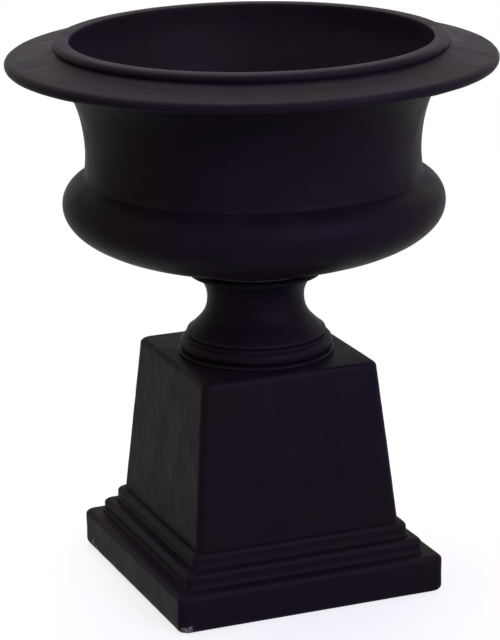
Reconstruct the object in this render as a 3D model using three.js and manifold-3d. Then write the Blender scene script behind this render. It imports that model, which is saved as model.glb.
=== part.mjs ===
// Garden urn planter on a square plinth: a bowl, a turned stem and a plinth, cast in a
// fibre-reinforced stone composite, bedded on thin rings and drawn together by one tie rod.
// Millimetres, +Z up, the origin on the floor under the middle of the plinth.

import * as THREE from "three";
import { mergeVertices } from "three/addons/utils/BufferGeometryUtils.js";
import Module from "manifold-3d";

const wasm = await Module();
wasm.setup();

// A point of an outline: its distance from the middle and its height.
const at = (radius, z) => new THREE.Vector2(radius, z);

// ---------------------------------------------------------------- driving dimensions

const GAP = 0.3; // left between two pieces that touch

// Plinth, from the floor up. A half is measured from the middle to a flat side.
const PLINTH_HEIGHT = 245.7;
const SLAB_HALF = 149;
const SLAB_HEIGHT = 40.3;
const SLAB_LOWER_ROUND = 3.5;
const SLAB_UPPER_ROUND = 4.5;
const SLAB_WALL = 20;
const STEP_HEIGHT = 16.1;
const STEP_ROUND = 5.5;
const STEP_LIP = 2.5; // height of the small lip at the foot of each step
const STEP_COVE = 1; // how far the face of a step lies behind its lip
const LOWER_STEP_SETBACK = 15.3; // behind the side of the slab
const UPPER_STEP_SETBACK = 11.7; // behind the side of the lower step
const DADO_SETBACK = 7.6; // behind the side of the upper step
const DADO_TAPER = 16.1; // what each side comes in by from the foot of the dado to its top
const DADO_TOP_ROUND = 4;
const BASE_CORNER = 6; // vertical corners of the slab and the steps
const DADO_CORNER = 9;
const PLINTH_WALL = 13;
const CORE_CORNER = 6; // vertical corners inside the plinth
const DECK_THICKNESS = 14;
const DECK_BOSS_RADIUS = 34;
const DECK_BOSS_HEIGHT = 12;

// Stem and foot, turned about the middle. Each height is that of one moulding.
const FOOT_DISC_RADIUS = 82.5;
const FOOT_DISC_HEIGHT = 3.2;
const TORUS_RADIUS = 80.6;
const TORUS_HEIGHT = 13.4;
const TORUS_ROLL = 6.5;
const FILLET_RADIUS = 75;
const FILLET_HEIGHT = 3;
const BEAD_RADIUS = 73.5;
const BEAD_HEIGHT = 5.4;
const BELL_RADIUS = 70.8; // of the stem where it meets the bead
const BELL_HEIGHT = 34.7; // from the bead to the waist
const WAIST_RADIUS = 51.2;
const THROAT_HEIGHT = 24.6; // from the waist to the seat ring
const THROAT_RADIUS = 66.4; // of the stem where it meets the seat ring
const SEAT_RING_RADIUS = 70.4;
const SEAT_RING_HEIGHT = 5.6;
const STEM_CORE_RADIUS = 29;
const FOOT_RECESS_DEPTH = 2.3;
const FOOT_RECESS_RADIUS = 78.5;
// Shares of a curve's width or height by which it leaves each of its ends
const BELL_LEAVES_BEAD = at(0.62, 0.34);
const BELL_LEAVES_WAIST = 0.47;
const THROAT_LEAVES_WAIST = 0.5;
const THROAT_LEAVES_RING = at(0.55, 0.12);

// Bowl, turned about the middle. A rise is measured from the seat under the bowl.
const BOWL_FOOT_RADIUS = 68.4;
const BOWL_FOOT_RISE = 4.9;
const BELLY_RADIUS = 199.6;
const BELLY_RISE = 71;
const SHOULDER_ROLL = 34; // how far the rolled shoulder comes in from the belly
const SHOULDER_HEIGHT = 30;
const NECK_RADIUS = 174.3; // at its narrowest
const NECK_RISE = 123.2;
const NECK_FLARE = 41; // how far the neck opens out to meet the rim
const NECK_FLARE_HEIGHT = 88;
const GROOVE_FLARE = 2.9; // how far the neck opens down to the groove on the shoulder
const RIM_RADIUS = 254;
const RIM_RISE = 220; // of the middle of the rounded edge
const RIM_EDGE = 6.2; // radius of the rounded edge, outwards and below its middle
const RIM_EDGE_ABOVE = 6.3; // height of the rounded edge above its middle
const RIM_FALL = 5.7; // of the flange from the collar down to its edge
const COLLAR_RADIUS = 204.5;
const COLLAR_HEIGHT = 11.2;
const COLLAR_ROUND = 7;
const MOUTH_RADIUS = 187.2;
const MOUTH_ROUND = 1.8;
const BOWL_WALL = 13;
const FLOOR_THICKNESS = 18;
const SPIGOT_INSET = 2; // of the seat from the edge of the bowl's foot
const SPIGOT_HEIGHT = 3.9;
const FLOOR_RADIUS = 62; // of the flat floor inside
// How each curve leaves its ends: millimetres outwards, shares of the curve's own height
const UNDERSIDE_LEAVES_FOOT = at(17, 0.096);
const UNDERSIDE_LEAVES_BELLY = 0.751;
const MOUTH_LEAVES = at(0.35, 0.4); // the mouth downwards, the neck upwards
const NECK_LEAVES = 0.45;
const INSIDE_LEAVES_BELLY = 0.68;
const INSIDE_LEAVES_FLOOR = at(33, 0.11);

// Bedding rings, tie rod and its nuts and washers
const GASKET_THICKNESS = 2;
const GASKET_BORE_RADIUS = 30;
const BOWL_GASKET_RADIUS = 64;
const FOOT_GASKET_RADIUS = 76.5;
const ROD_RADIUS = 6;
const ROD_CHAMFER = 1;
const ROD_HOLE_CLEARANCE = 0.75;
const ROD_PROUD = 8; // of the nut on the bowl's floor
const ROD_TAIL = 4.5; // below the locknut
const NUT_ACROSS_FLATS = 18;
const NUT_HEIGHT = 10.8;
const LOCKNUT_HEIGHT = 6;
const WASHER_RADIUS = 12;
const WASHER_THICKNESS = 2.5;
const SEAL_RADIUS = 14;
const SEAL_THICKNESS = 3;
const SPREADER_RADIUS = 18.5;
const SPREADER_THICKNESS = 3;
const DRAIN_RADIUS = 4;
const DRAIN_CIRCLE = 24; // radius of the circle that the drain holes lie on
const DRAIN_COUNT = 3;

const ROLL_TURN = 60; // degrees of a roll that show above and below its middle
const COLLAR_TURN = 75; // degrees of the collar's round before it runs flat
const CUT_PAST = 5; // how far a cutting tool stands out of what it cuts

// Facets
const BOWL_SEGMENTS = 56;
const STEM_SEGMENTS = 32;
const SMALL_SEGMENTS = 16;
const CORNER_STEPS = 4;
const ROUND_STEPS = 3;

// ---------------------------------------------------------------- levels that follow

const lowerStepBottom = SLAB_HEIGHT;
const upperStepBottom = lowerStepBottom + STEP_HEIGHT;
const dadoBottom = upperStepBottom + STEP_HEIGHT;
const deckTop = PLINTH_HEIGHT;
const deckUnderside = deckTop - DECK_THICKNESS;
const bossUnderside = deckUnderside - DECK_BOSS_HEIGHT;

const lowerStepHalf = SLAB_HALF - LOWER_STEP_SETBACK;
const upperStepHalf = lowerStepHalf - UPPER_STEP_SETBACK;
const dadoFootHalf = upperStepHalf - DADO_SETBACK;
const dadoTopHalf = dadoFootHalf - DADO_TAPER;

const footBottom = deckTop + GAP;
const torusBottom = footBottom + FOOT_DISC_HEIGHT;
const filletBottom = torusBottom + TORUS_HEIGHT;
const beadBottom = filletBottom + FILLET_HEIGHT;
const bellBottom = beadBottom + BEAD_HEIGHT;
const waist = bellBottom + BELL_HEIGHT;
const seatRingBottom = waist + THROAT_HEIGHT;
const stemTop = seatRingBottom + SEAT_RING_HEIGHT;

const footGasketBottom = deckTop + GAP;
const bowlGasketBottom = stemTop + GAP;
const bowlSeat = bowlGasketBottom + GASKET_THICKNESS + GAP;
const bowlFloor = bowlSeat + FLOOR_THICKNESS;
const belly = bowlSeat + BELLY_RISE;
const neck = bowlSeat + NECK_RISE;
const rimMiddle = bowlSeat + RIM_RISE;
const collarBase = rimMiddle + RIM_EDGE_ABOVE + RIM_FALL;
const collarCrest = collarBase + COLLAR_HEIGHT;

const rodHoleRadius = ROD_RADIUS + ROD_HOLE_CLEARANCE;
const nutBoreRadius = ROD_RADIUS + GAP;

// ---------------------------------------------------------------- outlines

// Points of an elliptical arc, from one angle to another in degrees; 0 points outwards.
function arc(middle, radiusOut, radiusUp, from, to, steps) {
  const points = [];
  for (let i = 0; i <= steps; i += 1) {
    const angle = THREE.MathUtils.degToRad(from + ((to - from) * i) / steps);
    points.push(
      at(middle.x + radiusOut * Math.cos(angle), middle.y + radiusUp * Math.sin(angle)),
    );
  }
  return points;
}

// Points of a smooth sweep between two ends, each with the point that it heads for.
function sweep(start, startHandle, endHandle, end, steps) {
  return new THREE.CubicBezierCurve(start, startHandle, endHandle, end).getPoints(steps);
}

// ---------------------------------------------------------------- solids

// The geometry with its corners shared and its empty triangles dropped.
function closed(geometry) {
  const bare = geometry.clone();
  bare.deleteAttribute("normal");
  bare.deleteAttribute("uv");
  const shared = mergeVertices(bare, 1e-4);
  const corners = shared.index.array;
  const kept = [];
  for (let i = 0; i < corners.length; i += 3) {
    const [a, b, c] = corners.slice(i, i + 3);
    if (a !== b && b !== c && c !== a) kept.push(a, b, c);
  }
  shared.setIndex(kept);
  return shared;
}

function toSolid(geometry) {
  const shared = closed(geometry);
  return new wasm.Manifold(
    new wasm.Mesh({
      numProp: 3,
      vertProperties: new Float32Array(shared.attributes.position.array),
      triVerts: new Uint32Array(shared.index.array),
    }),
  );
}

function toGeometry(solid) {
  const mesh = solid.getMesh();
  const geometry = new THREE.BufferGeometry();
  geometry.setAttribute("position", new THREE.BufferAttribute(mesh.vertProperties, 3));
  geometry.setIndex(new THREE.BufferAttribute(mesh.triVerts, 1));
  return geometry;
}

function cut(geometry, ...tools) {
  const solid = tools.reduce((left, tool) => left.subtract(toSolid(tool)), toSolid(geometry));
  return toGeometry(solid);
}

function join(geometry, other) {
  return toGeometry(toSolid(geometry).add(toSolid(other)));
}

// A profile of radius and height, given anticlockwise, turned about the upright axis.
function turned(profile, segments) {
  const geometry = new THREE.LatheGeometry(profile, segments);
  geometry.rotateX(Math.PI / 2);
  geometry.rotateZ(Math.PI / 2);
  return closed(geometry);
}

function ring(innerRadius, outerRadius, bottom, height, segments) {
  return turned(
    [
      at(innerRadius, bottom),
      at(outerRadius, bottom),
      at(outerRadius, bottom + height),
      at(innerRadius, bottom + height),
      at(innerRadius, bottom),
    ],
    segments,
  );
}

function disc(radius, bottom, height, segments) {
  return turned(
    [at(0, bottom), at(radius, bottom), at(radius, bottom + height), at(0, bottom + height)],
    segments,
  );
}

// A round rod for cutting a hole, standing at the given place.
function drill(x, y, radius, bottom, top) {
  return disc(radius, bottom, top - bottom, SMALL_SEGMENTS).translate(x, y, 0);
}

// The rod's hole and the circle of drain holes round it.
function drills(bottom, top) {
  const tools = [drill(0, 0, rodHoleRadius, bottom, top)];
  for (let i = 0; i < DRAIN_COUNT; i += 1) {
    const angle = (2 * Math.PI * i) / DRAIN_COUNT;
    const x = DRAIN_CIRCLE * Math.cos(angle);
    const y = DRAIN_CIRCLE * Math.sin(angle);
    tools.push(drill(x, y, DRAIN_RADIUS, bottom, top));
  }
  return tools;
}

function hexNut(bottom, height) {
  const corners = [];
  const reach = NUT_ACROSS_FLATS / Math.sqrt(3);
  for (let i = 0; i < 6; i += 1) {
    const angle = (Math.PI * i) / 3;
    corners.push(at(reach * Math.cos(angle), reach * Math.sin(angle)));
  }
  const outline = new THREE.Shape(corners);
  const bore = new THREE.Path().absarc(0, 0, nutBoreRadius, 0, 2 * Math.PI, true);
  outline.holes.push(bore);
  const geometry = new THREE.ExtrudeGeometry(outline, {
    depth: height,
    bevelEnabled: false,
    curveSegments: SMALL_SEGMENTS,
  });
  return geometry.translate(0, 0, bottom);
}

// Corners of a square with rounded corners, anticlockwise.
function roundedSquare(half, corner) {
  const points = [];
  for (let quarter = 0; quarter < 4; quarter += 1) {
    const middle = at(half - corner, half - corner);
    middle.rotateAround(at(0, 0), (quarter * Math.PI) / 2);
    points.push(...arc(middle, corner, corner, 90 * quarter, 90 * quarter + 90, CORNER_STEPS));
  }
  return points;
}

// A closed solid through rounded squares stacked from the bottom up.
function squareStack(sections) {
  const rings = sections.map(({ half, corner }) => roundedSquare(half, corner));
  const count = rings[0].length;
  const positions = [];
  rings.forEach((points, level) => {
    points.forEach((p) => positions.push(p.x, p.y, sections[level].z));
  });
  const bottomMiddle = positions.length / 3;
  positions.push(0, 0, sections[0].z);
  positions.push(0, 0, sections[sections.length - 1].z);
  const triangles = [];
  const topStart = (rings.length - 1) * count;
  for (let i = 0; i < count; i += 1) {
    const next = (i + 1) % count;
    for (let level = 0; level + 1 < rings.length; level += 1) {
      const low = level * count;
      const high = low + count;
      triangles.push(low + i, low + next, high + next, low + i, high + next, high + i);
    }
    triangles.push(bottomMiddle, next, i);
    triangles.push(bottomMiddle + 1, topStart + i, topStart + next);
  }
  const geometry = new THREE.BufferGeometry();
  geometry.setAttribute("position", new THREE.Float32BufferAttribute(positions, 3));
  geometry.setIndex(triangles);
  return geometry;
}

// ---------------------------------------------------------------- the castings

// Outline of one step: a lip at its foot, a face just behind it and a rounded upper edge.
function stepOutline(half, bottom) {
  const face = half - STEP_COVE;
  const top = bottom + STEP_HEIGHT;
  const roundMiddle = at(face - STEP_ROUND, top - STEP_ROUND);
  return [
    at(half, bottom),
    at(half, bottom + STEP_LIP),
    at(face, bottom + STEP_LIP + STEP_COVE),
    ...arc(roundMiddle, STEP_ROUND, STEP_ROUND, 0, 90, ROUND_STEPS),
  ];
}

function dadoHalfAt(z) {
  return dadoFootHalf - (DADO_TAPER * (z - dadoBottom)) / (deckTop - dadoBottom);
}

function plinth() {
  const lowerRound = at(SLAB_HALF - SLAB_LOWER_ROUND, SLAB_LOWER_ROUND);
  const upperRound = at(SLAB_HALF - SLAB_UPPER_ROUND, SLAB_HEIGHT - SLAB_UPPER_ROUND);
  const topRound = at(dadoTopHalf - DADO_TOP_ROUND, deckTop - DADO_TOP_ROUND);
  const base = [
    ...arc(lowerRound, SLAB_LOWER_ROUND, SLAB_LOWER_ROUND, -90, 0, ROUND_STEPS),
    ...arc(upperRound, SLAB_UPPER_ROUND, SLAB_UPPER_ROUND, 0, 90, ROUND_STEPS),
    ...stepOutline(lowerStepHalf, lowerStepBottom),
    ...stepOutline(upperStepHalf, upperStepBottom),
  ];
  const dado = [
    at(dadoFootHalf, dadoBottom),
    ...arc(topRound, DADO_TOP_ROUND, DADO_TOP_ROUND, 0, 90, ROUND_STEPS),
  ];
  const outside = squareStack([
    ...base.map((p) => ({ half: p.x, z: p.y, corner: BASE_CORNER })),
    ...dado.map((p) => ({ half: p.x, z: p.y, corner: DADO_CORNER })),
  ]);

  const slabCore = SLAB_HALF - SLAB_WALL;
  const coreSections = [
    { half: slabCore, z: -SLAB_HEIGHT },
    { half: slabCore, z: SLAB_HEIGHT - PLINTH_WALL },
    { half: dadoHalfAt(dadoBottom) - PLINTH_WALL, z: upperStepBottom },
    { half: dadoHalfAt(deckUnderside) - PLINTH_WALL, z: deckUnderside },
  ];
  const core = squareStack(coreSections.map((s) => ({ ...s, corner: CORE_CORNER })));

  const bossHeight = DECK_BOSS_HEIGHT + DECK_THICKNESS / 2;
  const boss = disc(DECK_BOSS_RADIUS, bossUnderside, bossHeight, STEM_SEGMENTS);
  return cut(join(cut(outside, core), boss), ...drills(bossUnderside - CUT_PAST, deckTop + CUT_PAST));
}

function stemFoot() {
  const discRound = FOOT_DISC_HEIGHT / 2;
  const discMiddle = at(FOOT_DISC_RADIUS - discRound, footBottom + discRound);
  const torusMiddle = at(TORUS_RADIUS - TORUS_ROLL, torusBottom + TORUS_HEIGHT / 2);
  const beadRoll = BEAD_HEIGHT / 2;
  const beadMiddle = at(BEAD_RADIUS - beadRoll, beadBottom + beadRoll);
  const seatRoll = SEAT_RING_HEIGHT / 2;
  const seatMiddle = at(SEAT_RING_RADIUS - seatRoll, seatRingBottom + seatRoll);
  const bellOut = BELL_RADIUS - WAIST_RADIUS;
  const throatOut = THROAT_RADIUS - WAIST_RADIUS;
  const outline = [
    at(STEM_CORE_RADIUS, footBottom + FOOT_RECESS_DEPTH),
    at(FOOT_RECESS_RADIUS, footBottom + FOOT_RECESS_DEPTH),
    at(FOOT_RECESS_RADIUS, footBottom),
    ...arc(discMiddle, discRound, discRound, -90, 90, 4),
    at(torusMiddle.x, torusBottom),
    ...arc(torusMiddle, TORUS_ROLL, TORUS_HEIGHT / 2, -ROLL_TURN, ROLL_TURN, 6),
    at(FILLET_RADIUS, filletBottom),
    at(FILLET_RADIUS, beadBottom),
    at(beadMiddle.x, beadBottom),
    ...arc(beadMiddle, beadRoll, beadRoll, -ROLL_TURN, ROLL_TURN, 4),
    ...sweep(
      at(BELL_RADIUS, bellBottom),
      at(BELL_RADIUS - bellOut * BELL_LEAVES_BEAD.x, bellBottom + BELL_HEIGHT * BELL_LEAVES_BEAD.y),
      at(WAIST_RADIUS, waist - BELL_HEIGHT * BELL_LEAVES_WAIST),
      at(WAIST_RADIUS, waist),
      7,
    ),
    ...sweep(
      at(WAIST_RADIUS, waist),
      at(WAIST_RADIUS, waist + THROAT_HEIGHT * THROAT_LEAVES_WAIST),
      at(
        THROAT_RADIUS - throatOut * THROAT_LEAVES_RING.x,
        seatRingBottom - THROAT_HEIGHT * THROAT_LEAVES_RING.y,
      ),
      at(THROAT_RADIUS, seatRingBottom),
      5,
    ).slice(1),
    ...arc(seatMiddle, seatRoll, seatRoll, -ROLL_TURN, 90, 5),
    at(STEM_CORE_RADIUS, stemTop),
    at(STEM_CORE_RADIUS, footBottom + FOOT_RECESS_DEPTH),
  ];
  return turned(outline, STEM_SEGMENTS);
}

// Outside of the bowl from its seat up to the edge of the rim.
function bowlOutside() {
  const shoulderMiddle = at(BELLY_RADIUS - SHOULDER_ROLL, belly);
  const grooveOut = NECK_RADIUS + GROOVE_FLARE - shoulderMiddle.x;
  const grooveAngle = THREE.MathUtils.radToDeg(Math.acos(grooveOut / SHOULDER_ROLL));
  const groove = belly + SHOULDER_HEIGHT * Math.sin(THREE.MathUtils.degToRad(grooveAngle));
  const flareMiddle = at(NECK_RADIUS + NECK_FLARE, neck);
  const rimEdgeMiddle = at(RIM_RADIUS - RIM_EDGE, rimMiddle);
  const spigotRadius = BOWL_FOOT_RADIUS - SPIGOT_INSET;
  const footTop = bowlSeat + BOWL_FOOT_RISE;
  const bellyDrop = belly - footTop;
  return [
    at(0, bowlSeat),
    at(spigotRadius, bowlSeat),
    at(spigotRadius, bowlSeat + SPIGOT_HEIGHT),
    ...sweep(
      at(BOWL_FOOT_RADIUS, footTop),
      at(
        BOWL_FOOT_RADIUS + UNDERSIDE_LEAVES_FOOT.x,
        footTop + bellyDrop * UNDERSIDE_LEAVES_FOOT.y,
      ),
      at(BELLY_RADIUS, belly - bellyDrop * UNDERSIDE_LEAVES_BELLY),
      at(BELLY_RADIUS, belly),
      11,
    ),
    ...arc(shoulderMiddle, SHOULDER_ROLL, SHOULDER_HEIGHT, 0, grooveAngle, 7).slice(1),
    at(NECK_RADIUS + GROOVE_FLARE / 4, (groove + neck) / 2),
    ...arc(flareMiddle, NECK_FLARE, NECK_FLARE_HEIGHT, 180, 90, 9),
    ...arc(rimEdgeMiddle, RIM_EDGE, RIM_EDGE, -90, 0, 3),
    ...arc(rimEdgeMiddle, RIM_EDGE, RIM_EDGE_ABOVE, 0, 90, 3).slice(1),
  ];
}

// The collar round the mouth, from its outer foot over the crest to the mouth's edge.
function collar() {
  const shoulder = collarCrest - COLLAR_ROUND;
  return [
    at(COLLAR_RADIUS, collarBase),
    ...arc(at(COLLAR_RADIUS - COLLAR_ROUND, shoulder), COLLAR_ROUND, COLLAR_ROUND, 0, COLLAR_TURN, 3),
    at((COLLAR_RADIUS + MOUTH_RADIUS) / 2, collarCrest),
    at(MOUTH_RADIUS + MOUTH_ROUND, collarCrest - MOUTH_ROUND / 3),
    at(MOUTH_RADIUS, collarCrest - MOUTH_ROUND),
  ];
}

// Inside of the bowl from the mouth down to the middle of the floor.
function bowlInside() {
  const neckInside = NECK_RADIUS - BOWL_WALL;
  const bellyInside = BELLY_RADIUS - BOWL_WALL;
  const neckDrop = collarBase - neck;
  const bellyDrop = neck - belly;
  const floorDrop = belly - bowlFloor;
  return [
    ...sweep(
      at(MOUTH_RADIUS, collarBase),
      at(MOUTH_RADIUS, collarBase - neckDrop * MOUTH_LEAVES.x),
      at(neckInside, neck + neckDrop * MOUTH_LEAVES.y),
      at(neckInside, neck),
      6,
    ),
    ...sweep(
      at(neckInside, neck),
      at(neckInside, neck - bellyDrop * NECK_LEAVES),
      at(bellyInside, belly + bellyDrop * NECK_LEAVES),
      at(bellyInside, belly),
      5,
    ).slice(1),
    ...sweep(
      at(bellyInside, belly),
      at(bellyInside, belly - floorDrop * INSIDE_LEAVES_BELLY),
      at(FLOOR_RADIUS + INSIDE_LEAVES_FLOOR.x, bowlFloor + floorDrop * INSIDE_LEAVES_FLOOR.y),
      at(FLOOR_RADIUS, bowlFloor),
      8,
    ).slice(1),
    at(0, bowlFloor),
  ];
}

function bowl() {
  const casting = turned([...bowlOutside(), ...collar(), ...bowlInside()], BOWL_SEGMENTS);
  return cut(casting, ...drills(bowlSeat - CUT_PAST, bowlFloor + CUT_PAST));
}

// ---------------------------------------------------------------- fixings

function tieRod(bottom, top) {
  const tip = ROD_RADIUS - ROD_CHAMFER;
  return turned(
    [
      at(0, bottom),
      at(tip, bottom),
      at(ROD_RADIUS, bottom + ROD_CHAMFER),
      at(ROD_RADIUS, top - ROD_CHAMFER),
      at(tip, top),
      at(0, top),
    ],
    SMALL_SEGMENTS,
  );
}

function fixings() {
  const pieces = {};
  // Upwards from the bowl's floor, each piece a gap above the last
  let level = bowlFloor + GAP;
  const stack = (name, height, make) => {
    pieces[name] = make(level, height);
    level += height + GAP;
  };
  const washer = (radius) => (bottom, height) =>
    ring(nutBoreRadius, radius, bottom, height, SMALL_SEGMENTS);
  stack("bowl_seal_washer", SEAL_THICKNESS, washer(SEAL_RADIUS));
  stack("bowl_washer", WASHER_THICKNESS, washer(WASHER_RADIUS));
  stack("bowl_nut", NUT_HEIGHT, hexNut);
  const rodTop = level + ROD_PROUD;

  // Downwards from the boss under the deck
  level = bossUnderside;
  const hang = (name, height, make) => {
    level -= GAP + height;
    pieces[name] = make(level, height);
  };
  hang("spreader_washer", SPREADER_THICKNESS, washer(SPREADER_RADIUS));
  hang("plinth_washer", WASHER_THICKNESS, washer(WASHER_RADIUS));
  hang("plinth_nut", NUT_HEIGHT, hexNut);
  hang("plinth_locknut", LOCKNUT_HEIGHT, hexNut);
  pieces.tie_rod = tieRod(level - ROD_TAIL, rodTop);
  return pieces;
}

function bowlGasket() {
  const radius = BOWL_GASKET_RADIUS;
  return ring(GASKET_BORE_RADIUS, radius, bowlGasketBottom, GASKET_THICKNESS, STEM_SEGMENTS);
}

function footGasket() {
  const radius = FOOT_GASKET_RADIUS;
  const thickness = FOOT_RECESS_DEPTH - GAP;
  return ring(GASKET_BORE_RADIUS, radius, footGasketBottom, thickness, STEM_SEGMENTS);
}

// ---------------------------------------------------------------- the assembly

const blackPaint = { color: 0x1d1b20, roughness: 0.42, metalness: 0 };
const zincSteel = { color: 0x9a9c9e, roughness: 0.38, metalness: 1 };
const blackRubber = { color: 0x151515, roughness: 0.85, metalness: 0 };

const urn = new THREE.Group();

function add(name, geometry, finish) {
  const mesh = new THREE.Mesh(geometry, new THREE.MeshStandardMaterial(finish));
  mesh.name = name;
  mesh.geometry.computeVertexNormals();
  urn.add(mesh);
}

add("plinth", plinth(), blackPaint);
add("stem_foot", stemFoot(), blackPaint);
add("bowl", bowl(), blackPaint);
add("foot_gasket", footGasket(), blackRubber);
add("bowl_gasket", bowlGasket(), blackRubber);
for (const [name, geometry] of Object.entries(fixings())) {
  add(name, geometry, name === "bowl_seal_washer" ? blackRubber : zincSteel);
}

export default urn;
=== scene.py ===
"""Garden urn planter in satin black: a wide bowl on a turned stem and a stepped square plinth.

Sizes in the classes are in millimetres, and each mesh is written in metres, in the frame of
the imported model: +Z up, with the origin on the floor under the middle of the plinth.
"""

import logging
import math
from dataclasses import dataclass
from enum import Enum

import bmesh
import bpy
import numpy as np
from mathutils import Matrix, Vector, noise


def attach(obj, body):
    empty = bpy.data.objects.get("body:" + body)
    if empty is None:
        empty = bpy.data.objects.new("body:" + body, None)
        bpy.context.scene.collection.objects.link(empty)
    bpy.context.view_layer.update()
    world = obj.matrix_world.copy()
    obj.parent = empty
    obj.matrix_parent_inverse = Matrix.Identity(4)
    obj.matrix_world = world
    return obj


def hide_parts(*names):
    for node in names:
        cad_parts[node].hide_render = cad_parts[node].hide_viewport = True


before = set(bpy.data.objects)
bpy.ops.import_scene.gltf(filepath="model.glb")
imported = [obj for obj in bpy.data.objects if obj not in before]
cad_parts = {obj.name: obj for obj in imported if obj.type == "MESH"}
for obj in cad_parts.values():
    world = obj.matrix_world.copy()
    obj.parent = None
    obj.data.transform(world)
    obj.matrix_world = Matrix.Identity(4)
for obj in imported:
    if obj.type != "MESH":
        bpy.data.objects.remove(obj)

MM = 0.001
MERGE = 1e-6  # metres between corners that are one corner
WHITE = (1.0, 1.0, 1.0, 1.0)
log = logging.getLogger("urn planter")

Point = tuple[float, float]  # distance from the middle and height, in millimetres
Outline = list[Point]


class WearAndEdgeHighlight(Enum):
    """Attributes on a mesh that tell its finish where the surface is worn, and where its convex edges get a
    painted highlight.
    """

    # convex edges: real wear, and a painted highlight along them
    EDGE = "worn_edge"
    HOLLOW = "dusty_hollow"
    CHIP = "chipped"


# ---------------------------------------------------------------- outlines


def arc(
    middle: Point, out: float, up: float, start: float, end: float, steps: int
) -> Outline:
    """Points of an elliptical arc.

    Args:
        middle: centre of the ellipse.
        out: its radius outwards.
        up: its radius upwards.
        start: first angle in degrees; 0 points outwards and 90 up.
        end: last angle in degrees.
        steps: number of straight pieces.

    Returns:
        The points, both ends included.
    """
    angles = [math.radians(start + (end - start) * i / steps) for i in range(steps + 1)]
    return [
        (middle[0] + out * math.cos(a), middle[1] + up * math.sin(a)) for a in angles
    ]


def sweep(
    start: Point, start_handle: Point, end_handle: Point, end: Point, steps: int
) -> Outline:
    """Points of a smooth curve between two ends.

    Args:
        start: first point.
        start_handle: point that the curve heads for as it leaves the start.
        end_handle: point that the curve comes from as it reaches the end.
        end: last point.
        steps: number of straight pieces.

    Returns:
        The points, both ends included.
    """
    points = []
    for i in range(steps + 1):
        t = i / steps
        s = 1 - t
        weights = (s**3, 3 * s * s * t, 3 * s * t * t, t**3)
        corners = (start, start_handle, end_handle, end)
        points.append(
            tuple(sum(w * c[k] for w, c in zip(weights, corners)) for k in (0, 1))
        )
    return points


def dense(outline: Outline, longest: float) -> Outline:
    """The outline with its long straight pieces split up.

    Args:
        outline: points in order.
        longest: longest piece that is left whole, in millimetres.

    Returns:
        The same line with more points.
    """
    points = [outline[0]]
    for low, high in zip(outline, outline[1:]):
        parts = max(1, math.ceil(math.dist(low, high) / longest))
        for i in range(1, parts + 1):
            t = i / parts
            points.append(
                (low[0] + (high[0] - low[0]) * t, low[1] + (high[1] - low[1]) * t)
            )
    return points


# ---------------------------------------------------------------- nodes


def add_node(
    tree: bpy.types.NodeTree, kind: str, inputs: dict | None = None, **settings: object
) -> bpy.types.Node:
    """Adds a node to a tree.

    Args:
        tree: tree that gets the node.
        kind: the node's type name.
        inputs: value or output socket for each input, by name or place.
        settings: the node's own properties.

    Returns:
        The new node.
    """
    node = tree.nodes.new(kind)
    for name, value in settings.items():
        setattr(node, name, value)
    for key, value in (inputs or {}).items():
        if isinstance(value, bpy.types.NodeSocket):
            tree.links.new(value, node.inputs[key])
        else:
            node.inputs[key].default_value = value
    return node


def calculate(
    tree: bpy.types.NodeTree,
    operation: str,
    *terms: bpy.types.NodeSocket | float,
    clamp: bool = False,
) -> bpy.types.NodeSocket:
    """Adds a math node.

    Args:
        tree: tree that gets the node.
        operation: what the node does.
        terms: its values or output sockets, in order.
        clamp: whether the result stays between 0 and 1.

    Returns:
        The result.
    """
    settings = {"operation": operation, "use_clamp": clamp}
    return add_node(tree, "ShaderNodeMath", dict(enumerate(terms)), **settings).outputs[0]


def linear_colour(code: str) -> tuple[float, float, float, float]:
    """Turns an sRGB hex code into the linear colour that a node takes.

    Args:
        code: colour such as "#1A171E".

    Returns:
        Red, green, blue and an alpha of 1.
    """
    shares = [int(code[i : i + 2], 16) / 255 for i in (1, 3, 5)]
    linear = [s / 12.92 if s <= 0.04045 else ((s + 0.055) / 1.055) ** 2.4 for s in shares]
    return (*linear, 1.0)


# ---------------------------------------------------------------- shape by rule


def new_rule(name: str, inputs: dict[str, str]) -> tuple[bpy.types.NodeTree, bpy.types.Node]:
    """Starts a geometry node tree that takes one mesh, some values and a material.

    Args:
        name: name of the tree.
        inputs: socket type of each named value.

    Returns:
        The tree and its input node.
    """
    tree = bpy.data.node_groups.new(name, "GeometryNodeTree")
    face = tree.interface
    for label, kind in {"Mesh": "Geometry", **inputs, "Material": "Material"}.items():
        face.new_socket(label, in_out="INPUT", socket_type="NodeSocket" + kind)
    face.new_socket("Mesh", in_out="OUTPUT", socket_type="NodeSocketGeometry")
    return tree, add_node(tree, "NodeGroupInput")


def close_rule(
    tree: bpy.types.NodeTree, mesh: bpy.types.NodeSocket, source: bpy.types.Node
) -> None:
    """Ends a geometry tree: real geometry, then its material.

    Args:
        tree: tree to end.
        mesh: the finished geometry.
        source: the tree's input node, which holds the material.
    """
    real = add_node(tree, "GeometryNodeRealizeInstances", {0: mesh})
    dressed = add_node(
        tree,
        "GeometryNodeSetMaterial",
        {"Geometry": real.outputs[0], "Material": source.outputs["Material"]},
    )
    add_node(tree, "NodeGroupOutput", {0: dressed.outputs[0]})


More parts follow.
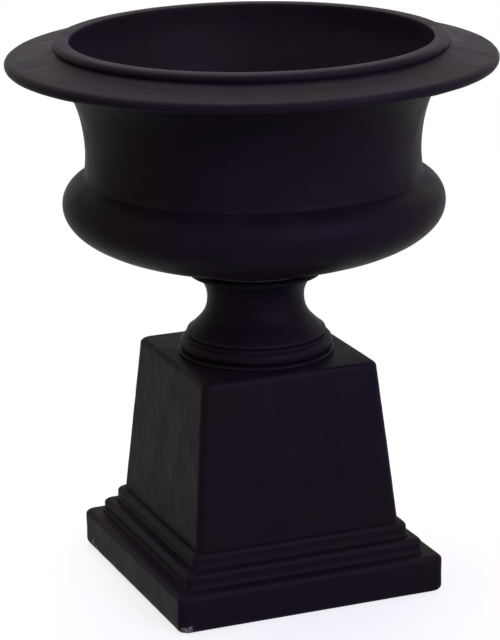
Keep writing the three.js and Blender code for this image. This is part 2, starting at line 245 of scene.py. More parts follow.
def turning_rule() -> bpy.types.NodeTree:
    """Tree that turns an outline of radius and height about the upright axis.

    Returns:
        The tree. Each column of a grid takes the outline's points, turned by its own angle.
    """
    tree, source = new_rule("turn_outline", {"Points": "Int", "Segments": "Int"})
    mesh, points, segments = (source.outputs[n] for n in ("Mesh", "Points", "Segments"))
    index = add_node(tree, "GeometryNodeInputIndex").outputs[0]
    place = add_node(tree, "GeometryNodeInputPosition").outputs[0]
    columns, row, column = (
        add_node(tree, "FunctionNodeIntegerMath", {0: one, 1: other}, operation=operation).outputs[0]
        for operation, one, other in (
            ("ADD", segments, 1),
            ("MODULO", index, points),
            ("DIVIDE_FLOOR", index, points),
        )
    )
    grid = add_node(tree, "GeometryNodeMeshGrid", {"Vertices X": columns, "Vertices Y": points})
    point = add_node(
        tree,
        "GeometryNodeSampleIndex",
        {"Geometry": mesh, "Value": place, "Index": row},
        data_type="FLOAT_VECTOR",
    )
    share = calculate(tree, "DIVIDE", column, segments)
    moved = add_node(
        tree,
        "ShaderNodeVectorRotate",
        {"Vector": point.outputs[0], "Angle": calculate(tree, "MULTIPLY", share, math.tau)},
        rotation_type="Z_AXIS",
    )
    placed = add_node(
        tree, "GeometryNodeSetPosition", {"Geometry": grid.outputs[0], "Position": moved.outputs[0]}
    )
    merged = add_node(
        tree, "GeometryNodeMergeByDistance", {0: placed.outputs[0], "Distance": MERGE}
    )
    close_rule(tree, merged.outputs[0], source)
    return tree


def drilling_rule() -> bpy.types.NodeTree:
    """Tree that drills the rod's hole and a circle of drain holes through a casting.

    Returns:
        The tree. The drills stand upright round the axis, at the heights it is given.
    """
    lengths = ("Rod Hole Radius", "Drain Radius", "Drain Circle", "Height", "Depth")
    tree, source = new_rule("drill_holes", {**dict.fromkeys(lengths, "Float"), "Drains": "Int"})
    given = source.outputs
    drain, middle = (
        add_node(
            tree,
            "GeometryNodeMeshCylinder",
            {"Vertices": sides, "Radius": given[radius], "Depth": given["Depth"]},
        ).outputs[0]
        for sides, radius in ((40, "Drain Radius"), (48, "Rod Hole Radius"))
    )
    places = add_node(
        tree,
        "GeometryNodeMeshCircle",
        {"Vertices": given["Drains"], "Radius": given["Drain Circle"]},
    )
    drains = add_node(
        tree, "GeometryNodeInstanceOnPoints", {"Points": places.outputs[0], "Instance": drain}
    )
    real = add_node(tree, "GeometryNodeRealizeInstances", {0: drains.outputs[0]})
    drills = add_node(tree, "GeometryNodeJoinGeometry")
    for drill in (real.outputs[0], middle):
        tree.links.new(drill, drills.inputs[0])
    offset = add_node(tree, "ShaderNodeCombineXYZ", {"Z": given["Height"]})
    raised = add_node(
        tree,
        "GeometryNodeSetPosition",
        {"Geometry": drills.outputs[0], "Offset": offset.outputs[0]},
    )
    cut = add_node(
        tree,
        "GeometryNodeMeshBoolean",
        {"Mesh 1": given["Mesh"], "Mesh 2": raised.outputs[0]},
        operation="DIFFERENCE",
        solver="EXACT",
    )
    close_rule(tree, cut.outputs[0], source)
    return tree


def thread_rule() -> bpy.types.NodeTree:
    """Tree that cuts a screw thread into a plain rod.

    Returns:
        The tree. A point's distance from the axis follows its height and its angle, and the
        thread fades out at both ends of the rod.
    """
    tree, source = new_rule("cut_thread", dict.fromkeys(("Pitch", "Depth", "Bottom", "Top"), "Float"))
    given = source.outputs
    fade_rate = 60.0  # the thread is at its full depth after a sixtieth of the rod's length
    place = add_node(tree, "GeometryNodeInputPosition").outputs[0]
    axes = add_node(tree, "ShaderNodeSeparateXYZ", {0: place}).outputs
    turn = calculate(tree, "DIVIDE", calculate(tree, "ARCTAN2", axes["Y"], axes["X"]), math.tau)
    rise = calculate(tree, "DIVIDE", axes["Z"], given["Pitch"])
    phase = calculate(tree, "SUBTRACT", rise, turn)
    flank = calculate(tree, "MULTIPLY", calculate(tree, "PINGPONG", phase, 0.5), 2.0)
    along = add_node(
        tree, "ShaderNodeMapRange", {"Value": axes["Z"], 1: given["Bottom"], 2: given["Top"]}
    ).outputs[0]
    nearest = calculate(tree, "MINIMUM", along, calculate(tree, "SUBTRACT", 1.0, along))
    full = calculate(tree, "MULTIPLY", nearest, fade_rate, clamp=True)
    share = calculate(tree, "MULTIPLY", flank, full)
    depth = calculate(tree, "MULTIPLY", share, given["Depth"])
    flat = add_node(tree, "ShaderNodeCombineXYZ", {"X": axes["X"], "Y": axes["Y"]})
    outwards = add_node(tree, "ShaderNodeVectorMath", {0: flat.outputs[0]}, operation="NORMALIZE")
    offset = add_node(
        tree,
        "ShaderNodeVectorMath",
        {0: outwards.outputs[0], "Scale": calculate(tree, "MULTIPLY", depth, -1.0)},
        operation="SCALE",
    )
    cut = add_node(
        tree, "GeometryNodeSetPosition", {"Geometry": given["Mesh"], "Offset": offset.outputs[0]}
    )
    close_rule(tree, cut.outputs[0], source)
    return tree


def bake(piece: bpy.types.Object, modifier: bpy.types.Modifier) -> None:
    """Keeps the mesh that a modifier gives and takes the modifier off.

    Args:
        piece: object to change.
        modifier: its modifier.
    """
    depsgraph = bpy.context.evaluated_depsgraph_get()
    made = bpy.data.meshes.new_from_object(piece.evaluated_get(depsgraph))
    piece.modifiers.remove(modifier)
    piece.data = made


def apply_rule(
    piece: bpy.types.Object, tree: bpy.types.NodeTree, values: dict[str, object]
) -> None:
    """Runs a geometry tree on a piece and keeps the mesh that it gives.

    Args:
        piece: object to change.
        tree: tree to run.
        values: value of each of the tree's named inputs.
    """
    modifier = piece.modifiers.new(tree.name, "NODES")
    modifier.node_group = tree
    for item in tree.interface.items_tree:
        if item.in_out == "INPUT" and item.name in values:
            modifier[item.identifier] = values[item.name]
    piece.update_tag()
    bake(piece, modifier)


# ---------------------------------------------------------------- meshes


def new_piece(name: str, mesh: bpy.types.Mesh) -> bpy.types.Object:
    """Puts a mesh in the scene as an object at the origin.

    Args:
        name: name of the piece.
        mesh: its mesh.

    Returns:
        The object.
    """
    piece = bpy.data.objects.new(name, mesh)
    bpy.context.scene.collection.objects.link(piece)
    return piece


def turned(name: str, outline: Outline, segments: int, finish: bpy.types.Material) -> bpy.types.Object:
    """A piece turned about the upright axis.

    Args:
        name: name of the piece.
        outline: its closed outline, the last point the same as the first.
        segments: flats round the axis.
        finish: its material.

    Returns:
        The object.
    """
    mesh = bpy.data.meshes.new(name)
    corners = [(r * MM, 0.0, z * MM) for r, z in outline]
    mesh.from_pydata(corners, [(i, i + 1) for i in range(len(corners) - 1)], [])
    piece = new_piece(name, mesh)
    apply_rule(
        piece,
        RULES["turn"],
        {"Points": len(corners), "Segments": segments, "Material": finish},
    )
    return piece


def rounded_square(half: float, corner: float, side_steps: int, corner_steps: int) -> np.ndarray:
    """Points round a square with rounded corners, anticlockwise.

    Args:
        half: from the middle to a flat side.
        corner: radius of a corner.
        side_steps: straight pieces along a side.
        corner_steps: straight pieces round a corner.

    Returns:
        One row of x and y for each point.
    """
    flat = half - corner
    quarter = arc((flat, flat), corner, corner, 0, 90, corner_steps)
    run = [(flat * (1 - 2 * i / side_steps), half) for i in range(1, side_steps)]
    points = np.array(quarter + run)
    turns = [
        np.array(((math.cos(a), -math.sin(a)), (math.sin(a), math.cos(a))))
        for a in (0, math.pi / 2, math.pi, 3 * math.pi / 2)
    ]
    return np.concatenate([points @ turn.T for turn in turns])


def ring_faces(rings: int, points: int, closed: bool) -> list[tuple[int, ...]]:
    """Faces between neighbouring rings of corners.

    Args:
        rings: number of rings.
        points: corners in a ring.
        closed: whether the last ring joins the first.

    Returns:
        The corners of each face.
    """
    return [
        (low + i, low + (i + 1) % points, high + (i + 1) % points, high + i)
        for low, high in (
            (level * points, (level + 1) % rings * points) for level in range(rings - 1 + closed)
        )
        for i in range(points)
    ]


def square_loft(
    name: str, sections: list[tuple[float, float, float]], side_steps: int, corner_steps: int
) -> bpy.types.Mesh:
    """A closed mesh through rounded squares stacked from the bottom up.

    Args:
        name: name of the mesh.
        sections: half width, height and corner radius of each square.
        side_steps: straight pieces along a side.
        corner_steps: straight pieces round a corner.

    Returns:
        The mesh, in metres.
    """
    rings = [rounded_square(h, c, side_steps, corner_steps) for h, _, c in sections]
    count = len(rings[0])
    corners = [
        (x * MM, y * MM, section[1] * MM) for ring, section in zip(rings, sections) for x, y in ring
    ]
    faces = ring_faces(len(rings), count, closed=False)
    faces.append(tuple(reversed(range(count))))
    faces.append(tuple(range((len(rings) - 1) * count, len(rings) * count)))
    mesh = bpy.data.meshes.new(name)
    mesh.from_pydata(corners, [], faces)
    return mesh


def combine(piece: bpy.types.Object, tool: bpy.types.Object, operation: str) -> None:
    """Cuts a tool out of a piece or joins it on, and deletes the tool.

    Args:
        piece: object to change.
        tool: closed object to take away or add.
        operation: "DIFFERENCE" or "UNION".
    """
    modifier = piece.modifiers.new("combine", "BOOLEAN")
    modifier.operation = operation
    modifier.solver = "EXACT"
    modifier.object = tool
    bake(piece, modifier)
    bpy.data.objects.remove(tool)


def weather(piece: bpy.types.Object, depth: float, size: float, keep_flat: tuple[float, ...]) -> None:
    """Gives a casting its slight hand-made waves, always inwards.

    Args:
        piece: object to change.
        depth: deepest hollow, in millimetres.
        size: width of a wave, in millimetres.
        keep_flat: heights in millimetres that the waves leave alone.
    """
    mesh = piece.data
    normals = [vertex.normal.copy() for vertex in mesh.vertices]
    for vertex, normal in zip(mesh.vertices, normals):
        place = vertex.co / (size * MM)
        share = 0.5 - 0.5 * noise.fractal(place, 0.9, 2.0, 3)
        height = vertex.co.z / MM
        fade = min([1.0] + [abs(height - level) / 3 for level in keep_flat])
        vertex.co -= normal * (max(0.0, min(1.0, share)) * fade * depth * MM)


@dataclass(frozen=True)
class Knock:
    """A knock in the coat: its place, how far it reaches and how deep it is, in millimetres."""

    place: tuple[float, float, float]
    reach: float
    depth: float


def knock(piece: bpy.types.Object, knocks: tuple[Knock, ...]) -> None:
    """Dents a casting where it was knocked and marks the bare spots for its finish.

    Args:
        piece: object to dent.
        knocks: the knocks.
    """
    mesh = piece.data
    marks = mesh.attributes.new(WearAndEdgeHighlight.CHIP.value, "FLOAT", "POINT")
    normals = [vertex.normal.copy() for vertex in mesh.vertices]
    for vertex, normal, mark in zip(mesh.vertices, normals, marks.data):
        for spot in knocks:
            away = (vertex.co - Vector(spot.place) * MM).length / MM
            share = max(0.0, 1 - away / spot.reach)
            vertex.co -= normal * (share * share * spot.depth * MM)
            mark.value = max(mark.value, min(1.0, 2 * share))


def finish_mesh(piece: bpy.types.Object, crease: float = 38) -> None:
    """Cleans a mesh, turns its faces outwards, shades it and marks where it wears and where its edges get a
    painted highlight.

    Args:
        piece: object to finish.
        crease: angle in degrees over which an edge stays sharp.
    """
    mesh = piece.data
    shape = bmesh.new()
    shape.from_mesh(mesh)
    bmesh.ops.remove_doubles(shape, verts=shape.verts, dist=MERGE)
    bmesh.ops.dissolve_degenerate(shape, edges=shape.edges, dist=MERGE)
    bmesh.ops.recalc_face_normals(shape, faces=shape.faces)
    shape.to_mesh(mesh)
    shape.free()
    mesh.shade_smooth()
    mesh.set_sharp_from_angle(angle=math.radians(crease))
    mark_wear_and_edge_highlight(mesh)


def mark_wear_and_edge_highlight(mesh: bpy.types.Mesh) -> None:
    """Writes how sharply a mesh bends out and in, for its finish to read.

    Args:
        mesh: closed mesh in metres.
    """
    count = len(mesh.vertices)
    place = np.empty(count * 3)
    normal = np.empty(count * 3)
    ends = np.empty(len(mesh.edges) * 2, dtype=np.int64)
    mesh.vertices.foreach_get("co", place)
    mesh.vertices.foreach_get("normal", normal)
    mesh.edges.foreach_get("vertices", ends)
    place, normal, ends = place.reshape(-1, 3), normal.reshape(-1, 3), ends.reshape(-1, 2)
    a, b = ends[:, 0], ends[:, 1]
    along = place[b] - place[a]
    square = np.maximum((along**2).sum(axis=1), MERGE**2)
    bend_a = -2 * (along * normal[a]).sum(axis=1) / square
    bend_b = 2 * (along * normal[b]).sum(axis=1) / square
    out, into = np.zeros(count), np.zeros(count)
    for end, bend in ((a, bend_a), (b, bend_b)):
        np.maximum.at(out, end, bend)
        np.maximum.at(into, end, -bend)
    softest, sharpest = 90.0, 420.0  # bends per metre: a radius of 11 mm and one of 2.4 mm
    # outward bends mark worn edges that also get a painted highlight; inward bends mark dusty hollows
    for name, bend in ((WearAndEdgeHighlight.EDGE, out), (WearAndEdgeHighlight.HOLLOW, into)):
        share = np.clip((bend - softest) / (sharpest - softest), 0, 1)
        total, number = share.copy(), np.ones(count)
        for end, other in ((a, b), (b, a)):
            np.add.at(total, end, share[other])
            np.add.at(number, end, 1)
        written = mesh.attributes.new(name.value, "FLOAT", "POINT")
        written.data.foreach_set("value", (total / number).astype(np.float32))


# ---------------------------------------------------------------- finishes


def start_material(
    name: str,
) -> tuple[bpy.types.Material, bpy.types.NodeTree, bpy.types.NodeSocket]:
    """Starts a material with an empty node tree.

    Args:
        name: name of the material.

    Returns:
        The material, its tree and the place on the object, in metres.
    """
    material = bpy.data.materials.new(name)
    material.use_nodes = True
    tree = material.node_tree
    tree.nodes.clear()
    return material, tree, add_node(tree, "ShaderNodeTexCoord").outputs["Object"]


@dataclass(frozen=True)
class SatinBlackPaint:
    """Brushed-on satin black masonry paint over cast stone."""

    name: str = "satin_black_paint"
    deep: str = "#151017"  # the coat itself, near black with a violet cast
    thin: str = "#19131B"  # where the coat is thinner and the casting lightens it
    warm: str = "#181210"  # brownish cast that breaks up the black in patches
    worn: str = "#262228"  # edges worn greyer, which also paints a highlight along every convex edge
    dust: str = "#38342F"  # garden dust that stays in the creases
    bare: str = "#B7B1A6"  # the stone composite that shows in a chip
    roughness: float = 0.45
    gloss: float = 0.02  # a coat that mirrors only at a glancing angle
    orange_peel: float = 1.7  # mm between the pimples of the dried coat
    waves: float = 26.0  # mm between the hand-finished waves of the casting

    def build(self) -> bpy.types.Material:
        """Builds the node material and returns it."""
        material, tree, place = start_material(self.name)

        def cloud(size: float, detail: float, rough: float = 0.5) -> bpy.types.NodeSocket:
            """Soft noise whose patches are about that many millimetres wide."""
            made = add_node(
                tree,
                "ShaderNodeTexNoise",
                {"Vector": place, "Scale": 1 / (size * MM), "Detail": detail, "Roughness": rough},
            )
            return made.outputs["Fac"]

        def ramp(
            value: bpy.types.NodeSocket, low: float, high: float, top: float = 1.0
        ) -> bpy.types.NodeSocket:
            """Stretches part of a value's range to 0 to top."""
            made = add_node(
                tree, "ShaderNodeMapRange", {"Value": value, 1: low, 2: high, 3: 0.0, 4: top}
            )
            return made.outputs[0]

        def blend(share: bpy.types.NodeSocket, under: object, over: object) -> bpy.types.NodeSocket:
            """Lays one colour over another."""
            layers = {0: share, 6: under, 7: over}
            return add_node(tree, "ShaderNodeMix", layers, data_type="RGBA").outputs[2]

        # masks from the mesh: worn edges with a painted highlight, dusty hollows and chips
        worn = {
            kind: add_node(tree, "ShaderNodeAttribute", attribute_name=kind.value).outputs["Fac"]
            for kind in WearAndEdgeHighlight
        }
        patches = cloud(34, 4, 0.6)
        drift = cloud(120, 2)
        speckle = cloud(2.6, 3, 0.65)
        colour = blend(ramp(patches, 0.35, 0.7), linear_colour(self.deep), linear_colour(self.thin))
        colour = blend(ramp(drift, 0.45, 0.68, 0.7), colour, linear_colour(self.warm))
        # painted highlight: convex edges are lightened towards the worn grey, partly real wear and partly a
        # painted edge highlight
        rubbed_and_highlit = calculate(tree, "MULTIPLY", worn[WearAndEdgeHighlight.EDGE], ramp(speckle, 0.42, 0.62, 0.55))
        colour = blend(rubbed_and_highlit, colour, linear_colour(self.worn))
        settled = ramp(cloud(9, 4, 0.7), 0.45, 0.75, 0.16)
        dusty = calculate(tree, "MULTIPLY", worn[WearAndEdgeHighlight.HOLLOW], settled)
        colour = blend(dusty, colour, linear_colour(self.dust))
        ragged = ramp(cloud(1.1, 2, 0.6), 0.5, 0.58)
        chipped = calculate(tree, "MULTIPLY", ramp(worn[WearAndEdgeHighlight.CHIP], 0.15, 0.6), ragged)
        colour = blend(chipped, colour, linear_colour(self.bare))

        dull = add_node(
            tree,
            "ShaderNodeMapRange",
            {"Value": patches, 1: 0.3, 2: 0.7, 3: self.roughness - 0.05, 4: self.roughness + 0.07},
        ).outputs[0]
        dull = calculate(tree, "ADD", dull, calculate(tree, "MULTIPLY", dusty, 1.5))
        duller = calculate(tree, "MULTIPLY", chipped, 0.4)
        dull = calculate(tree, "ADD", dull, duller, clamp=True)

        normal = None
        for height, depth in (
            (cloud(self.waves, 2, 0.45), 0.55),
            (cloud(7.5, 3, 0.55), 0.16),
            (cloud(self.orange_peel, 2, 0.5), 0.035),
        ):
            inputs = {"Height": height, "Distance": depth * MM, "Strength": 1.0}
            if normal is not None:
                inputs["Normal"] = normal
            normal = add_node(tree, "ShaderNodeBump", inputs).outputs[0]
        coat = add_node(
            tree,
            "ShaderNodeBsdfPrincipled",
            {
                "Base Color": colour,
                "Roughness": dull,
                "Normal": normal,
                "IOR": 1.5,
                "Specular IOR Level": self.gloss,
            },
        )
        add_node(tree, "ShaderNodeOutputMaterial", {"Surface": coat.outputs[0]})
        return material


@dataclass(frozen=True)
class BlackRubber:
    """Moulded black rubber of the bedding rings and the sealing washer."""

    name: str = "black_rubber"
    colour: str = "#131313"  # dull black
    bloom: str = "#2A2A29"  # grey bloom that old rubber gets
    roughness: float = 0.72

    def build(self) -> bpy.types.Material:
        """Builds the node material and returns it."""
        material, tree, place = start_material(self.name)
        bloom = add_node(
            tree, "ShaderNodeTexNoise", {"Vector": place, "Scale": 90.0, "Detail": 4.0}
        ).outputs["Fac"]
        grain = add_node(
            tree, "ShaderNodeTexNoise", {"Vector": place, "Scale": 1400.0, "Detail": 2.0}
        ).outputs["Fac"]
        colour = add_node(
            tree,
            "ShaderNodeMix",
            {0: bloom, 6: linear_colour(self.colour), 7: linear_colour(self.bloom)},
            data_type="RGBA",
        ).outputs[2]
        dull = add_node(
            tree,
            "ShaderNodeMapRange",
            {"Value": bloom, 3: self.roughness - 0.08, 4: self.roughness + 0.12},
        ).outputs[0]
        bump = add_node(tree, "ShaderNodeBump", {"Height": grain, "Distance": 0.05 * MM}).outputs[0]
        skin = add_node(
            tree,
            "ShaderNodeBsdfPrincipled",
            {"Base Color": colour, "Roughness": dull, "Normal": bump, "IOR": 1.52},
        )
        add_node(tree, "ShaderNodeOutputMaterial", {"Surface": skin.outputs[0]})
        return material


@dataclass(frozen=True)
class ZincPlatedSteel:
    """Bright zinc plate on the tie rod, its nuts and its washers."""

    name: str = "zinc_plated_steel"
    bright: str = "#B9BCC0"  # fresh plate
    stained: str = "#8F8A7E"  # yellowish stain where water stands
    roughness: float = 0.34

    def build(self) -> bpy.types.Material:
        """Builds the node material and returns it."""
        material, tree, place = start_material(self.name)
        stain = add_node(
            tree,
            "ShaderNodeTexNoise",
            {"Vector": place, "Scale": 160.0, "Detail": 5.0, "Roughness": 0.65},
        ).outputs["Fac"]
        spangle = add_node(
            tree, "ShaderNodeTexVoronoi", {"Vector": place, "Scale": 700.0}
        ).outputs["Distance"]
        share = add_node(tree, "ShaderNodeMapRange", {"Value": stain, 1: 0.48, 2: 0.72}).outputs[0]
        colour = add_node(
            tree,
            "ShaderNodeMix",
            {0: share, 6: linear_colour(self.bright), 7: linear_colour(self.stained)},
            data_type="RGBA",
        ).outputs[2]
        dull = add_node(
            tree,
            "ShaderNodeMapRange",
            {"Value": stain, 3: self.roughness - 0.1, 4: self.roughness + 0.2},
        ).outputs[0]
        bump = add_node(
            tree, "ShaderNodeBump", {"Height": spangle, "Distance": 0.02 * MM}
        ).outputs[0]
        plate = add_node(
            tree,
            "ShaderNodeBsdfPrincipled",
            {"Base Color": colour, "Metallic": 1.0, "Roughness": dull, "Normal": bump},
        )
        add_node(tree, "ShaderNodeOutputMaterial", {"Surface": plate.outputs[0]})
        return material


# ---------------------------------------------------------------- sub-assemblies


@dataclass(frozen=True)
class Drilling:
    """Holes on the axis of the urn: one for the tie rod and a circle of drains."""

    rod_hole_radius: float = 6.75
    drain_radius: float = 4.0
    drain_circle: float = 24.0
    drains: int = 3
    past: float = 4.0  # how far a drill stands out of what it drills

    def drill(self, piece: bpy.types.Object, bottom: float, top: float, finish: bpy.types.Material) -> None:
        """Drills the holes through a casting.

        Args:
            piece: casting to drill.
            bottom: underside of what is drilled, in millimetres.
            top: its upper side.
            finish: material of the casting.
        """
        apply_rule(
            piece,
            RULES["drill"],
            {
                "Rod Hole Radius": self.rod_hole_radius * MM,
                "Drain Radius": self.drain_radius * MM,
                "Drain Circle": self.drain_circle * MM,
                "Drains": self.drains,
                "Height": (bottom + top) / 2 * MM,
                "Depth": (top - bottom + 2 * self.past) * MM,
                "Material": finish,
            },
        )


@dataclass(frozen=True)
class Plinth:
    """Hollow square plinth: a slab, two rounded steps and a tapered dado with a drilled deck."""

    height: float = 245.7
    slab_half: float = 149.0
    slab_height: float = 40.3
    slab_lower_round: float = 6.5
    slab_upper_round: float = 5.5
    slab_wall: float = 20.0
    step_height: float = 16.1
    step_round: float = 5.5
    step_lip: float = 2.5
    step_cove: float = 1.0
    lower_setback: float = 15.3
    upper_setback: float = 11.7
    dado_setback: float = 7.6
    dado_taper: float = 16.1
    top_round: float = 6.0
    base_corner: float = 8.5
    dado_corner: float = 10.0
    wall: float = 13.0
    deck: float = 14.0
    boss_radius: float = 34.0
    boss_height: float = 12.0
    side_steps: int = 96
    corner_steps: int = 8
    knocks: tuple[Knock, ...] = (
        Knock((-144.0, -146.5, 2.5), 6.5, 0.7),
        Knock((-138.5, -148.6, 4.5), 4.5, 0.4),
        Knock((-148.6, 111.5, 3.5), 5.5, 0.6),
        Knock((-148.8, 121.0, 9.0), 4.0, 0.3),
        Knock((-148.5, 38.0, 2.5), 4.0, 0.4),
    )

    @property
    def dado_bottom(self) -> float:
        """Height of the foot of the dado."""
        return self.slab_height + 2 * self.step_height

    @property
    def dado_foot_half(self) -> float:
        """Half width of the dado at its foot."""
        return self.slab_half - self.lower_setback - self.upper_setback - self.dado_setback

    def half_at(self, z: float) -> float:
        """Half width of the dado's face at a height."""
        share = (z - self.dado_bottom) / (self.height - self.dado_bottom)
        return self.dado_foot_half - self.dado_taper * share

    def step(self, half: float, bottom: float) -> Outline:
        """Outline of one step: a thin lip, a face just behind it and a rounded edge.

        Args:
            half: half width of the step at its lip.
            bottom: height of its underside.

        Returns:
            The points from the lip up to the tread.
        """
        face = half - self.step_cove
        top = bottom + self.step_height
        middle = (face - self.step_round, top - self.step_round)
        lip_top = bottom + self.step_lip
        lip = arc((half - 0.5, lip_top - 0.6), 0.5, 0.6, 0, 90, 3)
        return [
            (half, bottom),
            *lip,
            (face, lip_top + self.step_cove),
            *arc(middle, self.step_round, self.step_round, 0, 90, 9),
        ]

    def sections(self) -> list[tuple[float, float, float]]:
        """Half width, height and corner radius of each square of the outside, from the floor up."""
        low = self.slab_lower_round
        high = self.slab_upper_round
        lower_half = self.slab_half - self.lower_setback
        upper_half = lower_half - self.upper_setback
        base = [
            *arc((self.slab_half - low, low), low, low, -90, 0, 6),
            *arc((self.slab_half - high, self.slab_height - high), high, high, 0, 90, 8),
            *self.step(lower_half, self.slab_height),
            *self.step(upper_half, self.slab_height + self.step_height),
        ]
        top = (self.half_at(self.height) - self.top_round, self.height - self.top_round)
        dado = [
            (self.dado_foot_half, self.dado_bottom),
            *arc(top, self.top_round, self.top_round, 0, 90, 8),
        ]
        return [(r, z, self.base_corner) for r, z in dense(base, 4)] + [
            (r, z, self.dado_corner) for r, z in dense(dado, 5)
        ]

    def build(self, drilling: Drilling, finish: bpy.types.Material) -> bpy.types.Object:
        """Builds the plinth.

        Args:
            drilling: the holes through the deck.
            finish: its material.

        Returns:
            The object, which stands for the plinth's node.
        """
        outside = square_loft("plinth_outside", self.sections(), self.side_steps, self.corner_steps)
        piece = new_piece("urn_plinth", outside)
        outside.materials.append(finish)
        level = (0.0, self.height, self.slab_height)
        weather(piece, 0.5, 30, level)
        weather(piece, 0.3, 10, level)
        core_half = self.slab_half - self.slab_wall
        underside = self.height - self.deck
        core = square_loft(
            "plinth_core",
            [
                (core_half, -20.0, self.base_corner),
                (core_half, self.slab_height - self.wall, self.base_corner),
                (
                    self.dado_foot_half - self.wall,
                    self.slab_height + self.step_height,
                    self.base_corner,
                ),
                (self.half_at(underside) - self.wall, underside, self.base_corner),
            ],
            1,
            6,
        )
        combine(piece, new_piece("plinth_core", core), "DIFFERENCE")
        boss_bottom = underside - self.boss_height
        boss_round = 2.0
        boss = turned(
            "plinth_boss",
            [
                (0, boss_bottom),
                *arc(
                    (self.boss_radius - boss_round, boss_bottom + boss_round),
                    boss_round,
                    boss_round,
                    -90,
                    0,
                    4,
                ),
                (self.boss_radius, underside + self.deck / 2),
                (0, underside + self.deck / 2),
                (0, boss_bottom),
            ],
            64,
            finish,
        )
        combine(piece, boss, "UNION")
        drilling.drill(piece, boss_bottom, self.height, finish)
        finish_mesh(piece)
        knock(piece, self.knocks)
        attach(piece, "root")
        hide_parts("plinth")
        return piece


@dataclass(frozen=True)
class Stem:
    """Turned stem: a foot of disc, torus, fillet and bead, a waisted bell and a seat ring."""

    bottom: float = 246.0
    disc_radius: float = 82.5
    disc_height: float = 3.2
    torus_radius: float = 80.6
    torus_height: float = 13.4
    torus_roll: float = 6.5
    fillet_radius: float = 75.0
    fillet_height: float = 3.0
    bead_radius: float = 73.5
    bead_height: float = 5.4
    bell_radius: float = 70.8
    bell_height: float = 34.7
    waist_radius: float = 51.2
    throat_height: float = 24.6
    throat_radius: float = 66.4
    seat_radius: float = 70.4
    seat_height: float = 5.6
    core_radius: float = 29.0
    recess_radius: float = 78.5
    recess_depth: float = 2.3
    segments: int = 224

    @property
    def top(self) -> float:
        """Height of the seat ring's upper face."""
        heights = (
            self.disc_height,
            self.torus_height,
            self.fillet_height,
            self.bead_height,
            self.bell_height,
            self.throat_height,
            self.seat_height,
        )
        return self.bottom + sum(heights)

    def outline(self) -> Outline:
        """Closed outline of the stem, from the recess under its foot outwards and up."""
        recess = self.bottom + self.recess_depth
        disc = self.disc_height / 2
        torus = self.bottom + self.disc_height
        fillet = torus + self.torus_height
        bead = fillet + self.fillet_height
        bell = bead + self.bead_height
        waist = bell + self.bell_height
        seat = waist + self.throat_height
        bead_roll = self.bead_height / 2
        seat_roll = self.seat_height / 2
        bell_out = self.bell_radius - self.waist_radius
        throat_out = self.throat_radius - self.waist_radius
        outline = [
            (self.core_radius, recess),
            (self.recess_radius, recess),
            (self.recess_radius, self.bottom),
            *arc((self.disc_radius - disc, self.bottom + disc), disc, disc, -90, 90, 12),
            *arc(
                (self.torus_radius - self.torus_roll, torus + self.torus_height / 2),
                self.torus_roll,
                self.torus_height / 2,
                -82,
                82,
                22,
            ),
            (self.fillet_radius, fillet + 0.4),
            (self.fillet_radius, bead - 0.4),
            *arc((self.bead_radius - bead_roll, bead + bead_roll), bead_roll, bead_roll, -78, 78, 14),
            *sweep(
                (self.bell_radius, bell),
                (self.bell_radius - bell_out * 0.62, bell + self.bell_height * 0.34),
                (self.waist_radius, waist - self.bell_height * 0.47),
                (self.waist_radius, waist),
                26,
            ),
            *sweep(
                (self.waist_radius, waist),
                (self.waist_radius, waist + self.throat_height * 0.5),
                (self.throat_radius - throat_out * 0.55, seat - self.throat_height * 0.12),
                (self.throat_radius, seat),
                20,
            )[1:],
            *arc((self.seat_radius - seat_roll, seat + seat_roll), seat_roll, seat_roll, -78, 90, 14),
            (self.core_radius, self.top),
            (self.core_radius, recess),
        ]
        return dense(outline, 6)

    def build(self, finish: bpy.types.Material) -> bpy.types.Object:
        """Builds the stem, which stands for the stem's node, and returns it."""
        piece = turned("urn_stem", self.outline(), self.segments, finish)
        finish_mesh(piece)
        weather(piece, 0.25, 24, (self.bottom, self.bottom + self.recess_depth, self.top))
        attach(piece, "root")
        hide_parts("stem_foot")
        return piece


